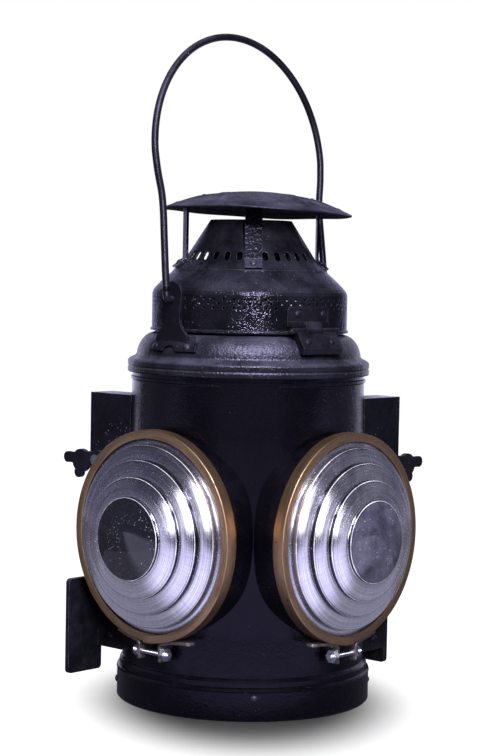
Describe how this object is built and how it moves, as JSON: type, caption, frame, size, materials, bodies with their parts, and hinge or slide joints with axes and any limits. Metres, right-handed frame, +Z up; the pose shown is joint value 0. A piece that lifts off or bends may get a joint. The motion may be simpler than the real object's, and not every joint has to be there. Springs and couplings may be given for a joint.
{
  "type": "locomotive classification lamp",
  "caption": "Round oil-burning railway lamp with two angled stepped lenses in brass bezels, swing-down colour roundels, a hinged vent cowl with a rain cap, and a bail.",
  "frame": {"origin": "centre of the base pan's underside", "axes": "+Z up, front (between the two lenses) towards -Y, the lamp's right as seen from the front +X"},
  "size_m": [0.2622, 0.2102, 0.4695],
  "materials": {
    "black_paint": "gloss",
    "aged_brass": "brushed",
    "fount_brass": "satin",
    "clear_glass": "gloss",
    "green_glass": "gloss",
    "black_rubber": "matte",
    "worn_steel": "worn",
    "zinc_steel": "satin",
    "cotton": "matte"
  },
  "bodies": {
    "lamp_body": {"base_pan": "black_paint", "base_screws": "black_paint", "base_floor": "black_paint", "body_shell": "black_paint", "front_saddle": "black_paint", "lens_hood_left": "black_paint", "lens_hood_right": "black_paint", "lens_gasket_left": "black_rubber", "lens_gasket_right": "black_rubber", "lens_left": "clear_glass", "lens_right": "clear_glass", "bezel_left": "aged_brass", "bezel_right": "aged_brass", "clamp_lugs_left": "worn_steel", "clamp_lugs_right": "worn_steel", "clamp_bolt_left": "zinc_steel", "clamp_bolt_right": "zinc_steel", "roundel_pocket_left": "black_paint", "roundel_pocket_right": "black_paint", "mount_bracket_left": "black_paint", "mount_bracket_right": "black_paint", "bracket_rivets": "black_paint", "dome_cover": "black_paint", "bail_ear_front": "black_paint", "bail_ear_rear": "black_paint", "ear_rivets": "black_paint", "hinge_lower_leaf": "black_paint", "hinge_pin": "zinc_steel", "hinge_rivets_lower": "black_paint", "oil_fount": "fount_brass", "filler_cap": "fount_brass", "burner": "fount_brass"},
    "cowl": {"hinge_upper_leaf": "black_paint", "hinge_rivets_upper": "black_paint", "vent_drum": "black_paint", "chimney_cone": "black_paint", "cap_straps": "black_paint", "strap_rivets": "black_paint", "rain_cap": "black_paint", "cap_rivets": "black_paint", "cowl_catch": "zinc_steel"},
    "bail": {"bail_handle": "black_paint"},
    "roundel_arm_left": {"lever_spindle_left": "zinc_steel", "colour_lever_left": "black_paint", "roundel_frame_left": "black_paint", "roundel_glass_left": "green_glass"},
    "roundel_arm_right": {"lever_spindle_right": "zinc_steel", "colour_lever_right": "black_paint", "roundel_frame_right": "black_paint", "roundel_glass_right": "green_glass"},
    "wick_wheel": {"wick_knob": "fount_brass"},
    "wick_strip": {"wick": "cotton"}
  },
  "joints": [
    {"name": "cowl_hinge", "type": "hinge", "parent": "lamp_body", "child": "cowl", "pos_m": [0.04082, -0.06052, 0.262], "axis": [0.829, 0.5592, 0], "range_deg": [0, 105]},
    {"name": "bail_swing", "type": "hinge", "parent": "lamp_body", "child": "bail", "pos_m": [0, 0, 0.2815], "axis": [-0.7193, -0.6947, 0], "range_deg": [-41, 84]},
    {"name": "lever_left", "type": "hinge", "parent": "lamp_body", "child": "roundel_arm_left", "pos_m": [-0.09475, 0.02404, 0.165], "axis": [0.7071, 0.7071, 0], "range_deg": [0, 47]},
    {"name": "lever_right", "type": "hinge", "parent": "lamp_body", "child": "roundel_arm_right", "pos_m": [0.09475, 0.02404, 0.165], "axis": [0.7071, -0.7071, 0], "range_deg": [0, 47]},
    {"name": "wick_knob_turn", "type": "hinge", "parent": "lamp_body", "child": "wick_wheel", "pos_m": [0, -0.0062, 0.084], "axis": [1, 0, 0], "range_deg": [0, 60]},
    {"name": "wick_lift", "type": "slide", "parent": "lamp_body", "child": "wick_strip", "axis": [0, 0, 1], "range_m": [0, 0.0054]}
  ],
  "couplings": [
    {"joint": "wick_lift", "follows": "wick_knob_turn", "m_per_rad": 0.0051}
  ]
}
